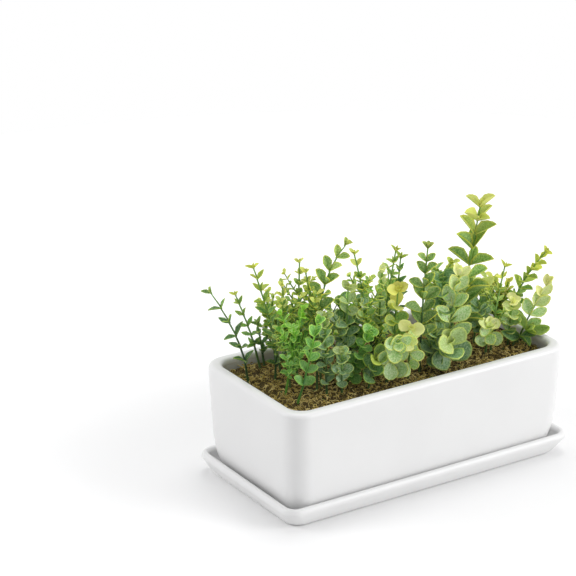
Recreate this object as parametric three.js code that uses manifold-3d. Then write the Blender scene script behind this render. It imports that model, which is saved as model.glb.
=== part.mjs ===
// A rectangular glazed ceramic planter on its own saucer, planted with artificial sprigs.
// Millimetres, +Z up. The origin is the middle of the saucer's foot, on the table, and +X runs
// along the planter's long side.
import * as THREE from "three";
import { mergeVertices } from "three/addons/utils/BufferGeometryUtils.js";
import Module from "manifold-3d";

const wasm = await Module();
wasm.setup();

// Pot: one slip-cast shell, straight for a band under its rim, then tapered, then turned in
// on an elliptic curve to its foot ring
const potLength = 305;
const potWidth = 155;
const potHeight = 104;
const potCorner = 20;
const potWall = 8.5;
const potFloor = 8;
const rimBand = 10;
const rimOuterRound = 4.5;
const rimInnerRound = 2;
const wallTaper = 0.048;
const turnHeight = 36;
const turnDepth = 15;
const cavityFillet = 8;
const potFootWidth = 5;
const potFootRecess = 2;
const drainRadius = 6;
const drainSpacing = 140;

// Saucer: a shallow tray with a flared wall and a thick, full round lip. It is sized round the
// pot: the gaps are the least there is between its inside and the pot's wall.
const saucerGapX = 5.4;
const saucerGapY = 3.1;
const saucerHeight = 22;
const saucerCorner = 14;
const saucerWall = 7;
const saucerLipDrop = 5;
const saucerFloor = 6;
const saucerFlare = 11.5;
const saucerBulge = 0.6;
const saucerFillet = 4;
const saucerFootWidth = 5;
const saucerFootRecess = 1.5;

// Filling: a foam block that holds the stems, under a layer of curly coir
const headspace = 11;
const coirThickness = 7;
const coirClearance = 0.6;
const coirCrown = 1.6;
const coirReach = 30;
const coirRipple = 0.9;
const foamClearance = 0.8;
const seatGap = 0.3;

// Sprigs: moulded stems with leaves in crossed pairs
const stemSide = 1.8;
const stemTipSide = 1;
const stemInFoam = 30;
const socketClearance = 0.3;
const leafThickness = 0.9;
const leafSag = 0.05;
const leafRoom = 0.25;
const leafTurnScatter = 24;
const leafRiseWithAge = 16;
const leafRiseScatter = 16;
const firstPairOverRim = 6;
const lastPairShare = 0.985;
const bedMargin = 8;

// How finely curves are drawn
const cornerSteps = 3;
const turnSteps = 5;
const lipSteps = 4;
const drainSides = 16;

// Heights that follow from the sizes above
const potFootZ = saucerFloor;
const potTopZ = potFootZ + potHeight;
const cavityFloorZ = potFootZ + potFloor;
const bandBottomZ = potTopZ - rimBand;
const turnTopZ = potFootZ + turnHeight;
const coirTopZ = potTopZ - headspace;
const coirBottomZ = coirTopZ - coirThickness;
const foamTopZ = coirBottomZ - seatGap;
const foamBottomZ = cavityFloorZ + seatGap;

const glaze = { color: 0xf4f4f1, roughness: 0.32, metalness: 0 };

function part(name, geometry, look) {
  const mesh = new THREE.Mesh(geometry, new THREE.MeshStandardMaterial(look));
  mesh.name = name;
  return mesh;
}

// One level outline: a rectangle with round corners at height z, anticlockwise from above
function roundedOutline(halfX, halfY, radius, z) {
  const path = new THREE.Path();
  const quarter = Math.PI / 2;
  const corners = [[1, 1], [-1, 1], [-1, -1], [1, -1]];
  corners.forEach(([sideX, sideY], index) => {
    const centreX = sideX * (halfX - radius);
    const centreY = sideY * (halfY - radius);
    path.absarc(centreX, centreY, radius, index * quarter, (index + 1) * quarter);
  });
  return path.getPoints(cornerSteps).map((point) => new THREE.Vector3(point.x, point.y, z));
}

// A closed skin through outlines of equal counts: the first one is closed below, and the last
// one is closed facing the other way
function loft(outlines) {
  const count = outlines[0].length;
  const positions = outlines.flat().flatMap((point) => point.toArray());
  const faces = [];
  for (let ring = 0; ring + 1 < outlines.length; ring += 1) {
    for (let step = 0; step < count; step += 1) {
      const a = ring * count + step;
      const b = ring * count + ((step + 1) % count);
      faces.push(a, b, b + count, a, b + count, a + count);
    }
  }
  const last = (outlines.length - 1) * count;
  for (let step = 1; step + 1 < count; step += 1) {
    faces.push(0, step + 1, step);
    faces.push(last, last + step, last + step + 1);
  }
  const geometry = new THREE.BufferGeometry();
  geometry.setAttribute("position", new THREE.Float32BufferAttribute(positions, 3));
  geometry.setIndex(faces);
  return geometry;
}

function toSolid(geometry) {
  const bare = geometry.clone();
  bare.deleteAttribute("normal");
  bare.deleteAttribute("uv");
  const merged = mergeVertices(bare, 1e-4);
  return new wasm.Manifold(new wasm.Mesh({
    numProp: 3,
    vertProperties: new Float32Array(merged.attributes.position.array),
    triVerts: new Uint32Array(merged.index.array),
  }));
}

function toGeometry(solid) {
  const mesh = solid.getMesh();
  const geometry = new THREE.BufferGeometry();
  geometry.setAttribute("position", new THREE.BufferAttribute(mesh.vertProperties.slice(), 3));
  geometry.setIndex(new THREE.BufferAttribute(mesh.triVerts.slice(), 1));
  return geometry;
}

// How far the pot's wall has come in from its rim at height z, by taper and by turn
function wallInset(z) {
  const taper = wallTaper * Math.max(0, bandBottomZ - z);
  const turned = THREE.MathUtils.clamp((turnTopZ - z) / turnHeight, 0, 1);
  return taper + turnDepth * (1 - Math.sqrt(1 - turned * turned));
}

function cavityInset(z) {
  const filletTopZ = cavityFloorZ + cavityFillet;
  const rounded = THREE.MathUtils.clamp((filletTopZ - z) / cavityFillet, 0, 1);
  return wallInset(z) + cavityFillet * (1 - Math.sqrt(1 - rounded * rounded));
}

// An outline of the pot at height z: inset keeps the corner radius, offset runs parallel
function potOutline(z, inset, offset) {
  const halfX = potLength / 2 - inset - offset;
  const halfY = potWidth / 2 - inset - offset;
  return roundedOutline(halfX, halfY, potCorner - offset, z);
}

// Heights at which the cavity's wall bends, from the floor up. The foam follows the same ones.
const cavityBends = [0, 0.3, 1].map((share) => cavityFloorZ + share * cavityFillet);
cavityBends.push(THREE.MathUtils.lerp(cavityFloorZ + cavityFillet, turnTopZ, 0.4));
cavityBends.push(turnTopZ, bandBottomZ);

function makePot() {
  const outlines = [];
  const recessZ = potFootZ + potFootRecess;
  const footInset = wallInset(potFootZ);
  outlines.push(potOutline(recessZ, footInset, potFootWidth + potFootRecess));
  outlines.push(potOutline(potFootZ, footInset, potFootWidth));
  for (let step = turnSteps; step >= 0; step -= 1) {
    const angle = (step / turnSteps) * (Math.PI / 2);
    const z = turnTopZ - turnHeight * Math.sin(angle);
    outlines.push(potOutline(z, wallInset(z), 0));
  }
  outlines.push(potOutline(bandBottomZ, 0, 0));
  for (let step = 0; step < lipSteps; step += 1) {
    const angle = (step / (lipSteps - 1)) * (Math.PI / 2);
    const offset = rimOuterRound * (1 - Math.cos(angle));
    outlines.push(potOutline(potTopZ - rimOuterRound * (1 - Math.sin(angle)), 0, offset));
  }
  outlines.push(potOutline(potTopZ, 0, potWall - rimInnerRound));
  const half = Math.SQRT1_2;
  const softZ = potTopZ - rimInnerRound * (1 - half);
  outlines.push(potOutline(softZ, 0, potWall - rimInnerRound * (1 - half)));
  outlines.push(potOutline(potTopZ - rimInnerRound, 0, potWall));
  for (const z of [...cavityBends].reverse()) {
    outlines.push(potOutline(z, cavityInset(z), potWall));
  }
  let shell = toSolid(loft(outlines));
  for (const side of [-1, 1]) {
    const drill = new THREE.CylinderGeometry(drainRadius, drainRadius, 3 * potFloor, drainSides);
    drill.rotateX(Math.PI / 2);
    drill.translate((side * drainSpacing) / 2, 0, cavityFloorZ);
    shell = shell.subtract(toSolid(drill));
  }
  return part("pot", toGeometry(shell), glaze);
}

// The saucer's section from the middle of its foot, up its outside, over its lip and down to
// its floor: the height, the inset that keeps the corner radius, and the parallel offset
const saucerLipZ = saucerHeight - saucerLipDrop;
function flareInset(z) {
  return saucerFlare * (1 - Math.min(1, z / saucerLipZ));
}
const saucerOutside = [
  [saucerFootRecess, saucerFlare, saucerFootWidth + saucerFootRecess],
  [0, saucerFlare, saucerFootWidth],
  [0, saucerFlare, 0],
  [saucerLipZ / 2, flareInset(saucerLipZ / 2) - saucerBulge, 0],
];
const saucerLip = [];
for (let step = 0; step <= lipSteps; step += 1) {
  const angle = (step / lipSteps) * Math.PI;
  const offset = (saucerWall / 2) * (1 - Math.cos(angle));
  saucerLip.push([saucerLipZ + saucerLipDrop * Math.sin(angle), 0, offset]);
}
const filletInset = flareInset(saucerFloor + saucerFillet);
const saucerInside = [
  [saucerFloor + saucerFillet, filletInset, saucerWall],
  [saucerFloor + saucerFillet / 4, filletInset + saucerFillet / 2, saucerWall],
  [saucerFloor, filletInset + 1.5 * saucerFillet, saucerWall],
];

// How far the saucer's inside reaches in past the pot's wall where the two come closest
const saucerReach = Math.max(...[...saucerLip, ...saucerInside].map(([z, inset, offset]) => (
  inset + offset - wallInset(z)
)));

function makeSaucer() {
  const halfX = potLength / 2 + saucerReach + saucerGapX;
  const halfY = potWidth / 2 + saucerReach + saucerGapY;
  const section = [...saucerOutside, ...saucerLip, ...saucerInside];
  const outlines = section.map(([z, inset, offset]) => {
    const inward = inset + offset;
    return roundedOutline(halfX - inward, halfY - inward, saucerCorner - offset, z);
  });
  return part("saucer", loft(outlines), glaze);
}

// The bed that the sprigs stand in: the coir's own outline, less a margin for the plants
const bedHalfX = potLength / 2 - potWall - wallInset(coirTopZ) - bedMargin;
const bedHalfY = potWidth / 2 - potWall - wallInset(coirTopZ) - bedMargin;

// Leaf shapes. Each section is [share of the length, share of the half width]. Crossing is the
// angle between one pair and the next, 90 on a stem whose pairs stand square to each other.
const leafShapes = {
  lance: { ratio: 0.5, sections: [[0.45, 1]], rise: 34, crossing: 60, tipSize: 0.75 },
  spoon: { ratio: 0.62, sections: [[0.58, 1]], rise: 40, crossing: 60, tipSize: 0.7 },
  oval: {
    ratio: 0.68, sections: [[0.34, 0.86], [0.72, 0.92]], rise: 40, crossing: 60, tipSize: 0.66,
  },
  paddle: {
    ratio: 0.56, sections: [[0.36, 0.84], [0.76, 0.9]], rise: 30, crossing: 50, tipSize: 0.84,
  },
  coin: {
    ratio: 0.96, sections: [[0.28, 0.82], [0.74, 0.92]], rise: 34, crossing: 80, tipSize: 0.82,
  },
};

// Leaf colours, from the plain greens to the yellow-tipped and silvery ones
const leafColours = {
  deep: 0x3f6b33,
  green: 0x5b8a3c,
  bright: 0x6fa53a,
  lime: 0xa9b648,
  olive: 0x7f9440,
  grey: 0x7c9a6c,
  silver: 0xb7c489,
};

// The planting plan, bunch by bunch from the left. Feet are in hundredths of the half bed, so
// that the bunches spread with the pot. The rest is in millimetres and degrees:
// [along, across, tip shift x, tip shift y, height, bend, leaf shape, leaf length, pair spacing,
// turn, colour], where bend is a power that says how late the stem leans over
const plan = {
  fine_sprig_1: [-95, 54, -18, 34, 80, 1.8, "lance", 13.5, 14, -63, "deep"],
  fine_sprig_2: [-76, 88, -16, 16, 71, 1.3, "lance", 11, 11, -50, "green"],
  fine_sprig_3: [-72, 90, -5, 3, 42, 1.2, "lance", 12, 8, 0, "deep"],
  fine_sprig_4: [-68, 59, -18, 17, 101, 1.3, "lance", 13.5, 13.5, -63, "green"],
  small_sprig_1: [-62, 94, -4, 7, 68, 1.3, "spoon", 11, 10, 10, "lime"],
  small_sprig_2: [-77, 2, -3, 8, 96, 1.2, "spoon", 10, 11, -60, "lime"],
  small_sprig_3: [-66, 21, 2, -1, 112, 1.2, "spoon", 10, 12, -50, "lime"],
  small_sprig_4: [-60, -24, -12, 8, 112, 1.5, "spoon", 10, 13, -70, "lime"],
  fine_sprig_5: [-77, 42, 6, 3, 61, 1.4, "lance", 12, 11, 0, "deep"],
  oval_sprig_1: [-53, 84, 4, -3, 49, 1.3, "oval", 14, 10, 35, "deep"],
  bright_sprig_1: [-86, -50, 14, -9, 77, 0.85, "oval", 13, 13, -70, "bright"],
  bright_sprig_2: [-85, -14, 14, -6, 81, 1.2, "spoon", 12, 10, 20, "bright"],
  grey_sprig_1: [-64, -52, 5, -3, 64, 1, "oval", 13, 10, -40, "grey"],
  olive_sprig_1: [-64, -28, 21, -14, 140, 4.2, "oval", 17, 13, -63, "olive"],
  small_sprig_5: [-22, -36, -15, 11, 119, 1.6, "spoon", 11, 13, -63, "lime"],
  grey_sprig_2: [-39, -19, 1, -1, 89, 1.3, "oval", 15, 12, -50, "grey"],
  grey_sprig_3: [-43, -35, 14, -15, 53, 1.2, "coin", 15, 10, -50, "bright"],
  grey_sprig_4: [-54, -58, -3, -4, 42, 1.2, "coin", 14, 12, -30, "grey"],
  oval_sprig_2: [-18, 34, -8, 5, 50, 1.3, "oval", 15, 11, 15, "deep"],
  fine_sprig_6: [-6, -6, 7, -10, 114, 1.6, "lance", 11, 13, -63, "lime"],
  fine_sprig_7: [8, 8, 3, -8, 91, 1.5, "lance", 12, 14, 10, "deep"],
  coin_sprig_1: [-14, -19, 3, -2, 95, 1.3, "coin", 14, 12, 40, "silver"],
  olive_sprig_2: [-17, 12, 5, -3, 72, 1.3, "oval", 13, 12, 70, "bright"],
  coin_sprig_2: [-5, -32, 3, -2, 80, 1.3, "coin", 16, 13, -20, "lime"],
  coin_sprig_3: [-4, -69, -3, -7, 56, 1.3, "coin", 17, 13, -50, "silver"],
  coin_sprig_4: [-19, -60, 0, -14, 41, 1.3, "coin", 17, 11, -20, "silver"],
  coin_sprig_5: [-34, -62, 0, 2, 26, 1.2, "coin", 18, 8, 35, "deep"],
  coin_sprig_6: [30, -68, 0, -3, 24, 1.2, "coin", 20, 6, -50, "grey"],
  coin_sprig_7: [18, -48, 4, -4, 30, 1.2, "coin", 18, 7, 20, "grey"],
  olive_sprig_3: [10, -54, 2, -6, 121, 1.8, "oval", 18, 12.5, -63, "olive"],
  olive_sprig_4: [27, -28, 4, -6, 78, 1.2, "coin", 18, 12, -20, "deep"],
  tall_sprig: [53, -24, 13, -9, 144, 1.5, "paddle", 25, 15, -58, "olive"],
  olive_sprig_5: [42, 4, 5, -14, 90, 1.3, "oval", 14, 13, -30, "lime"],
  silver_sprig: [31, -44, 7, -14, 94, 0.85, "oval", 20, 15, -40, "silver"],
  grey_sprig_5: [71, -8, 4, -6, 60, 1.3, "oval", 18, 11, -20, "grey"],
  fine_sprig_8: [71, -50, 9, -6, 86, 1.5, "lance", 11, 12, -63, "green"],
  coin_sprig_8: [66, -52, 3, -2, 33, 1.2, "coin", 18, 8, -40, "silver"],
  coin_sprig_9: [92, -46, 2, -1, 24, 1.2, "paddle", 24, 8, -33, "deep"],
  coin_sprig_10: [90, -38, -1, 1, 47, 1.2, "coin", 15, 9, 70, "silver"],
  fine_sprig_9: [96, -14, 17, -32, 90, 1.8, "lance", 11, 9, -63, "green"],
  small_sprig_6: [97, 14, -6, -14, 62, 1.2, "spoon", 12, 10, 0, "lime"],
  small_sprig_7: [98, -40, 13, -22, 60, 1.2, "oval", 16, 11, -63, "silver"],
  grey_sprig_6: [-36, 52, -4, 2, 50, 1.3, "oval", 15, 11, 55, "grey"],
  oval_sprig_3: [12, 46, 2, 4, 56, 1.3, "oval", 15, 10, 25, "deep"],
  grey_sprig_7: [52, 40, 4, 4, 54, 1.2, "coin", 16, 12, 60, "grey"],
  oval_sprig_4: [80, 46, 5, 4, 42, 1.3, "oval", 15, 9, 15, "green"],
};

// A share between 0 and 1 that scatters evenly with n, for small natural differences
function scatter(n) {
  return (n * 0.618034) % 1;
}

function makeSprigPlan([name, row], index) {
  const [
    along, across, shiftX, shiftY, height, bend, shape, leafLength, spacing, turn, colour,
  ] = row;
  const foot = new THREE.Vector3((along / 100) * bedHalfX, (across / 100) * bedHalfY, coirTopZ);
  const firstShare = Math.min(0.5, (headspace + firstPairOverRim) / height);
  const pairs = 1 + Math.round((height * (lastPairShare - firstShare)) / spacing);
  return {
    name, index, foot, shiftX, shiftY, height, bend, leafLength, firstShare, pairs, turn,
    colour, ...leafShapes[shape],
  };
}

// The stem's middle line: straight up out of the bed, then leaning more and more to its tip
function stemPoint(sprig, share) {
  const lean = share ** sprig.bend;
  return new THREE.Vector3(sprig.shiftX * lean, sprig.shiftY * lean, sprig.height * share)
    .add(sprig.foot);
}

// The joints where leaf pairs sit, as shares of the height: the first clears the rim
function pairShare(sprig, pair) {
  const even = pair / (sprig.pairs - 1);
  const nudge = pair > 0 && even < 1 ? 0.25 * (scatter(sprig.index * 7 + pair) - 0.5) : 0;
  return THREE.MathUtils.lerp(sprig.firstShare, lastPairShare, even + nudge / sprig.pairs);
}

function pairAngle(sprig, pair) {
  const drift = leafTurnScatter * (scatter(sprig.index + 3 * pair) - 0.5);
  const crossed = (pair % 2) * (sprig.crossing - 90);
  return THREE.MathUtils.degToRad(sprig.turn + crossed + drift);
}

// A square ring round the stem, its corners in the order +u-v, +u+v, -u+v, -u-v
function stemRing(centre, angle, half) {
  const u = new THREE.Vector3(Math.cos(angle), Math.sin(angle), 0).multiplyScalar(half);
  const v = new THREE.Vector3(-Math.sin(angle), Math.cos(angle), 0).multiplyScalar(half);
  return [[1, -1], [1, 1], [-1, 1], [-1, -1]].map(([alongU, alongV]) => (
    centre.clone().addScaledVector(u, alongU).addScaledVector(v, alongV)
  ));
}

// Where one leaf starts, which way it points and how big it is. variant 0 is the planned pose.
// The others lift and shorten the leaf, for one that would touch a neighbour.
const variants = [[0, 1], [22, 0.85], [-18, 0.8], [30, 0.62]];
function leafPose(sprig, pair, side, variant) {
  const share = pairShare(sprig, pair);
  const number = sprig.index * 31 + pair * 5 + side;
  const angle = pairAngle(sprig, pair) + (side + (pair % 2) / 2) * Math.PI;
  const [lift, shrink] = variants[variant];
  const age = 1 - share;
  const rise = sprig.rise + lift + leafRiseWithAge * (0.5 - age)
    + leafRiseScatter * (scatter(number) - 0.5);
  const length = sprig.leafLength * shrink * THREE.MathUtils.lerp(sprig.tipSize, 1, age ** 0.6)
    * (0.88 + 0.24 * scatter(number * 3));
  const out = new THREE.Vector3(Math.cos(angle), Math.sin(angle), 0);
  const across = new THREE.Vector3(-Math.sin(angle), Math.cos(angle), 0);
  const tilt = THREE.MathUtils.degToRad(rise);
  const along = out.clone().multiplyScalar(Math.cos(tilt));
  along.z = Math.sin(tilt);
  const up = new THREE.Vector3().crossVectors(along, across);
  return { along, across, up, length };
}

// The leaf's own points beyond the stem's face. Each section is an edge, the keel under the
// midrib and the other edge, and the tip comes last.
function leafPoints(sprig, pose, root, spare) {
  const points = [];
  const halfWidth = (pose.length * sprig.ratio) / 2 + spare;
  const keel = leafThickness + spare;
  for (const [share, width] of sprig.sections) {
    const middle = root.clone().addScaledVector(pose.along, share * pose.length);
    middle.addScaledVector(pose.up, spare - leafSag * pose.length);
    points.push(middle.clone().addScaledVector(pose.across, -halfWidth * width));
    points.push(middle.clone().addScaledVector(pose.up, -keel));
    points.push(middle.clone().addScaledVector(pose.across, halfWidth * width));
  }
  points.push(root.clone().addScaledVector(pose.along, pose.length + spare));
  return points;
}

// Faces from a base square (lower left, lower right, upper right, upper left, seen from the
// leaf's tip) through each section to the tip
function leafFaces(base, first, sections) {
  const [left, under, right] = [first, first + 1, first + 2];
  const faces = [
    base[0], under, left, base[0], base[1], under, base[1], right, under, base[1], base[2],
    right, base[2], left, right, base[2], base[3], left, base[3], base[0], left,
  ];
  for (let section = 0; section + 1 < sections; section += 1) {
    for (let step = 0; step < 3; step += 1) {
      const a = first + 3 * section + step;
      const b = first + 3 * section + ((step + 1) % 3);
      faces.push(a, b, b + 3, a, b + 3, a + 3);
    }
  }
  const last = first + 3 * (sections - 1);
  const tip = last + 3;
  for (let step = 0; step < 3; step += 1) faces.push(last + step, last + ((step + 1) % 3), tip);
  return faces;
}

// The stem's rings: one at the bottom of its hole, one just over the bed, then two at each pair
const ringsBelowLeaves = 2;
function stemRings(sprig) {
  const rings = [foamTopZ - stemInFoam, coirTopZ + coirCrown + coirRipple].map((z) => (
    stemRing(sprig.foot.clone().setZ(z), pairAngle(sprig, 0), stemSide / 2)
  ));
  for (let pair = 0; pair < sprig.pairs; pair += 1) {
    const share = pairShare(sprig, pair);
    const side = THREE.MathUtils.lerp(stemSide, stemTipSide, share);
    for (const step of [-1, 1]) {
      const centre = stemPoint(sprig, share);
      centre.z += (step * side) / 2;
      rings.push(stemRing(centre, pairAngle(sprig, pair), side / 2));
    }
  }
  return rings;
}

// The corners of the stem's face that a leaf grows from, and their middle
function leafBase(pair, side) {
  const lower = 4 * (2 * pair + ringsBelowLeaves);
  const corner = (2 * side + (pair % 2)) % 4;
  const next = (corner + 1) % 4;
  return [lower + corner, lower + next, lower + 4 + next, lower + 4 + corner];
}

function middleOf(points) {
  const middle = new THREE.Vector3();
  points.forEach((point) => middle.add(point));
  return middle.divideScalar(points.length);
}

function solidFrom(points, faces) {
  const geometry = new THREE.BufferGeometry();
  const positions = points.flatMap((point) => point.toArray());
  geometry.setAttribute("position", new THREE.Float32BufferAttribute(positions, 3));
  geometry.setIndex(faces);
  return geometry;
}

// A closed copy of one leaf with a little room round it, to try against what is there already
function leafTrial(sprig, pose, baseCorners) {
  const root = middleOf(baseCorners);
  const moved = baseCorners.map((corner) => corner.clone().addScaledVector(pose.along, 0.3));
  const points = [...moved, ...leafPoints(sprig, pose, root, leafRoom)];
  const faces = leafFaces([0, 1, 2, 3], 4, sprig.sections.length);
  faces.push(0, 3, 2, 0, 2, 1);
  return toSolid(solidFrom(points, faces));
}

function boxOf(solid) {
  const box = solid.boundingBox();
  return new THREE.Box3(new THREE.Vector3(...box.min), new THREE.Vector3(...box.max));
}

function touches(trial, others) {
  const box = boxOf(trial);
  return others.some((other) => (
    other.box.intersectsBox(box) && trial.intersect(other.solid).volume() > 0
  ));
}

function stemFaces(sprig, rings, leaves) {
  const bare = new Set(leaves.map((leaf) => `${leaf.pair},${leaf.side}`));
  const faces = [];
  for (let ring = 0; ring + 1 < rings.length; ring += 1) {
    const pair = (ring - ringsBelowLeaves) / 2;
    for (let corner = 0; corner < 4; corner += 1) {
      const side = [0, 1].find((half) => (2 * half + (pair % 2)) % 4 === corner);
      if (side !== undefined && bare.has(`${pair},${side}`)) continue;
      const a = 4 * ring + corner;
      const b = 4 * ring + ((corner + 1) % 4);
      faces.push(a, b, b + 4, a, b + 4, a + 4);
    }
  }
  const last = 4 * (rings.length - 1);
  faces.push(0, 2, 1, 0, 3, 2, last, last + 1, last + 2, last, last + 2, last + 3);
  return faces;
}

// Leaves go on one by one, the lowest pairs first. Each takes the first pose that touches
// nothing, and where none is free the stem stays bare there, as on a crowded bunch.
function plantSprigs(sprigs, fixed) {
  const stems = sprigs.map((sprig) => {
    const rings = stemRings(sprig);
    const solid = toSolid(solidFrom(rings.flat(), stemFaces(sprig, rings, [])));
    return { sprig, solid, box: boxOf(solid), rings, leaves: [] };
  });
  const placed = [];
  const most = Math.max(...sprigs.map((sprig) => sprig.pairs));
  for (let pair = 0; pair < most; pair += 1) {
    for (const stem of stems) {
      if (pair >= stem.sprig.pairs) continue;
      const others = [...fixed, ...placed, ...stems.filter((other) => other !== stem)];
      for (const side of [0, 1]) {
        const corners = leafBase(pair, side);
        const points = stem.rings.flat();
        const baseCorners = corners.map((corner) => points[corner]);
        for (let variant = 0; variant < variants.length; variant += 1) {
          const pose = leafPose(stem.sprig, pair, side, variant);
          const trial = leafTrial(stem.sprig, pose, baseCorners);
          if (touches(trial, others)) continue;
          const leaf = { solid: trial, box: boxOf(trial), pair, side, pose, corners };
          stem.leaves.push(leaf);
          placed.push(leaf);
          break;
        }
      }
    }
  }
  return stems;
}

function makeSprig(stem) {
  const { sprig, rings, leaves } = stem;
  const points = rings.flat();
  const faces = stemFaces(sprig, rings, leaves);
  for (const leaf of leaves) {
    const root = middleOf(leaf.corners.map((corner) => points[corner]));
    faces.push(...leafFaces(leaf.corners, points.length, sprig.sections.length));
    points.push(...leafPoints(sprig, leaf.pose, root, 0));
  }
  const look = { color: leafColours[sprig.colour], roughness: 0.5, metalness: 0 };
  return part(sprig.name, solidFrom(points, faces), look);
}

// Square holes for the stems, a little wider than the stems all round
function drillSockets(solid, sprigs, topZ, bottomZ) {
  let drilled = solid;
  for (const sprig of sprigs) {
    const half = stemSide / 2 + socketClearance;
    const angle = pairAngle(sprig, 0);
    const low = sprig.foot.clone().setZ(bottomZ);
    const high = sprig.foot.clone().setZ(topZ);
    const drill = loft([stemRing(low, angle, half), stemRing(high, angle, half)]);
    drilled = drilled.subtract(toSolid(drill));
  }
  return drilled;
}

function fillingOutline(z, clearance) {
  return potOutline(z, cavityInset(z), potWall + clearance);
}

function makeFoam(sprigs) {
  const bends = cavityBends.filter((z) => z > foamBottomZ && z < foamTopZ);
  const outlines = bends.map((z) => fillingOutline(z, foamClearance));
  const base = fillingOutline(cavityFloorZ, foamClearance);
  outlines.unshift(base.map((point) => point.setZ(foamBottomZ)));
  outlines.push(fillingOutline(foamTopZ, foamClearance));
  const block = toSolid(loft(outlines));
  const holeBottomZ = foamTopZ - stemInFoam - socketClearance;
  const drilled = drillSockets(block, sprigs, foamTopZ + coirThickness, holeBottomZ);
  return part("foam_block", toGeometry(drilled), { color: 0x4f6b45, roughness: 0.95 });
}

// The coir lies a little higher in the middle and ripples gently. Stems pass right through it.
function makeCoir(sprigs) {
  const outlines = [fillingOutline(coirBottomZ, coirClearance)];
  for (const inward of [0, 8, coirReach]) {
    const outline = fillingOutline(coirTopZ, coirClearance + Math.min(inward, potCorner / 3));
    const shrinkX = 1 - inward / bedHalfX;
    const shrinkY = 1 - inward / bedHalfY;
    outline.forEach((point) => {
      point.x *= shrinkX;
      point.y *= shrinkY;
      const ripple = Math.sin(point.x / 13) * Math.cos(point.y / 11);
      point.z += coirRipple * ripple + coirCrown * Math.sin((inward / coirReach) * (Math.PI / 2));
    });
    outlines.push(outline);
  }
  const layer = toSolid(loft(outlines));
  const top = coirTopZ + coirThickness;
  const drilled = drillSockets(layer, sprigs, top, coirBottomZ - coirThickness);
  return part("coir_top", toGeometry(drilled), { color: 0x6e5a2c, roughness: 1 });
}

const sprigs = Object.entries(plan).map(makeSprigPlan);
const planter = new THREE.Group();
const pot = makePot();
const coir = makeCoir(sprigs);
planter.add(makeSaucer(), pot, makeFoam(sprigs), coir);
const fixed = [pot, coir].map((mesh) => {
  const solid = toSolid(mesh.geometry);
  return { solid, box: boxOf(solid) };
});
plantSprigs(sprigs, fixed).forEach((stem) => planter.add(makeSprig(stem)));

export default planter;
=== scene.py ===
import math
import random

import bmesh
import bpy
from mathutils import Matrix, Vector, noise


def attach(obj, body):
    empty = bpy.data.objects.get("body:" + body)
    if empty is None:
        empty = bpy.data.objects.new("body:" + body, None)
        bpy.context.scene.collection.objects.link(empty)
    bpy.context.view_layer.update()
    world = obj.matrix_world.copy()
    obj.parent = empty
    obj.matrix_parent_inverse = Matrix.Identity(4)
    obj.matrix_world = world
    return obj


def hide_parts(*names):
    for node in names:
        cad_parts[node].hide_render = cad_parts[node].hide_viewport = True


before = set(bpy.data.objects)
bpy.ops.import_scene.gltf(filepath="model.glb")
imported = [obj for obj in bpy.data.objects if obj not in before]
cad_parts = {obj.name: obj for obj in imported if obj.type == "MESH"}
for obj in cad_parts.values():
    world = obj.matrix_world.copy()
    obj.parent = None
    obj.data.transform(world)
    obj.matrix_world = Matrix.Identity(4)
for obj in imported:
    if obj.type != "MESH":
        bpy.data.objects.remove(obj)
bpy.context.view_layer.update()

# Saucer: a slip-cast stoneware tray with a flared wall, a thick, full round lip and a foot ring
# underneath. It is dipped in a satin white glaze.
saucer_half_x, saucer_half_y = 0.157187, 0.079887
saucer_corner = 0.014
saucer_wall = 0.007
saucer_flare, saucer_bulge = 0.0102, 0.0006
saucer_lip_z, saucer_lip_rise = 0.0166, 0.0048
saucer_floor_z, saucer_sweep = 0.006, 0.012
# heights and offsets round the foot ring, from its recess outwards
saucer_foot_ring = [(0.0015, 0.0066), (0.0011, 0.0062), (0.0003, 0.0052), (0.0, 0.0045),
                    (0.0, 0.0018), (0.0003, 0.0007), (0.001, 0.0001)]


def swing(segments, quarters=1):
    """The sine and cosine at each step of a turn from 0, to draw a round edge with."""
    angles = [math.pi / 2 * quarters * step / segments for step in range(segments + 1)]
    return [(math.sin(angle), math.cos(angle)) for angle in angles]


def extrude_ring(bm, ring):
    """Extrudes a ring of edges on the spot, and gives the new ring's edges and vertices."""
    made = bmesh.ops.extrude_edge_only(bm, edges=ring)["geom"]
    return ([item for item in made if isinstance(item, bmesh.types.BMEdge)],
            [item for item in made if isinstance(item, bmesh.types.BMVert)])


def ring_edges(verts):
    """The edges of a ring of vertices, each once, in the order of the vertices."""
    return list(dict.fromkeys(edge for vert in verts for edge in vert.link_edges))


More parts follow.
